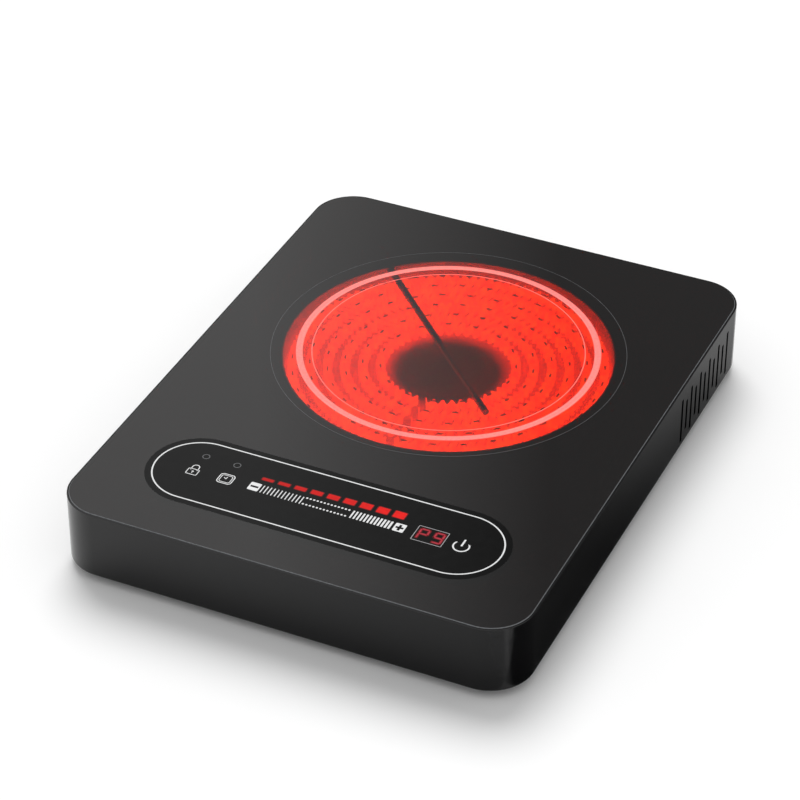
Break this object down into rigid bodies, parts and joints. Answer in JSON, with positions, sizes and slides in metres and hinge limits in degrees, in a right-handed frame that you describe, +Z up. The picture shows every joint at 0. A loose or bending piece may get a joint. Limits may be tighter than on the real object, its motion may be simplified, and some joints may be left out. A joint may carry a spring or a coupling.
{
  "type": "portable single-zone glass-ceramic cooktop",
  "caption": "Low table-top cooktop: black glass plate on a shallow case, one glowing radiant zone, touch panel with slider and display, side cooling slots.",
  "frame": {"origin": "on the surface the feet stand on, under the middle of the case", "axes": "+X to the user's right, +Y to the rear, +Z up; the touch panel is at -Y"},
  "size_m": [0.28, 0.362, 0.0482],
  "materials": {
    "case": "glossy black moulded ABS with a very fine orange-peel",
    "glass": "polished black glass-ceramic, screen printed",
    "silicone": "black silicone adhesive bead",
    "rubber": "soft black moulded rubber",
    "steel": "bright rolled steel",
    "insulation": "pressed microporous fibre insulation",
    "ribbon": "corrugated resistance strip, glowing",
    "quartz": "drawn quartz tube",
    "ceramic": "unglazed steatite",
    "board": "green solder mask on glass-fibre laminate",
    "aluminium": "extruded aluminium",
    "black_moulding": "black moulded plastic with a fine spark texture",
    "white_moulding": "white moulded plastic",
    "blue_moulding": "blue moulded case",
    "yellow_moulding": "yellow film capacitor case",
    "copper": "enamelled copper winding",
    "bronze": "oiled sintered bronze",
    "red_lens": "red diffusing lens",
    "brown_wire": "brown silicone insulation",
    "blue_wire": "blue silicone insulation",
    "white_wire": "braided glass-fibre sleeve",
    "grey_cable": "grey flat cable"
  },
  "bodies": {
    "cooktop_body": {"housing": "case", "glass_top": "glass", "glass_seal": "silicone", "foot_front_left": "rubber", "foot_front_right": "rubber", "foot_rear_left": "rubber", "foot_rear_right": "rubber", "cord_gland": "rubber", "base_screw_1": "steel", "base_screw_2": "steel", "base_screw_3": "steel", "base_screw_4": "steel", "heater_dish": "steel", "heater_spring_1": "steel", "heater_spring_2": "steel", "heater_spring_3": "steel", "touch_spring_lock": "steel", "touch_spring_timer": "steel", "touch_spring_minus": "steel", "touch_spring_plus": "steel", "touch_spring_power": "steel", "insulation_bed": "insulation", "insulation_ring": "insulation", "heating_ribbon_1": "ribbon", "heating_ribbon_2": "ribbon", "heating_ribbon_3": "ribbon", "heating_ribbon_4": "ribbon", "heating_ribbon_5": "ribbon", "heating_ribbon_6": "ribbon", "limiter_rod": "quartz", "limiter_head": "ceramic", "heater_terminal": "ceramic", "power_board": "board", "control_board": "board", "heatsink": "aluminium", "base_cover": "black_moulding", "fan_frame": "black_moulding", "triac": "black_moulding", "slider_electrode": "black_moulding", "supply_transformer": "black_moulding", "buzzer": "black_moulding", "control_tray": "white_moulding", "led_bar_module": "white_moulding", "terminal_block": "white_moulding", "relay": "blue_moulding", "filter_capacitor": "yellow_moulding", "fan_stator": "copper", "line_choke": "copper", "fan_bearing": "bronze", "display_module": "red_lens", "lock_lamp": "red_lens", "timer_lamp": "red_lens", "mains_wire_live": "brown_wire", "mains_wire_neutral": "blue_wire", "heater_wire_1": "white_wire", "heater_wire_2": "white_wire", "control_cable": "grey_cable"},
    "fan_wheel": {"fan_rotor": "black_moulding", "fan_shaft": "steel"}
  },
  "joints": [
    {"name": "fan_spin", "type": "hinge", "parent": "cooktop_body", "child": "fan_wheel", "pos_m": [-0.09, -0.1162, 0.0148], "axis": [0, 0, 1], "continuous": true}
  ]
}
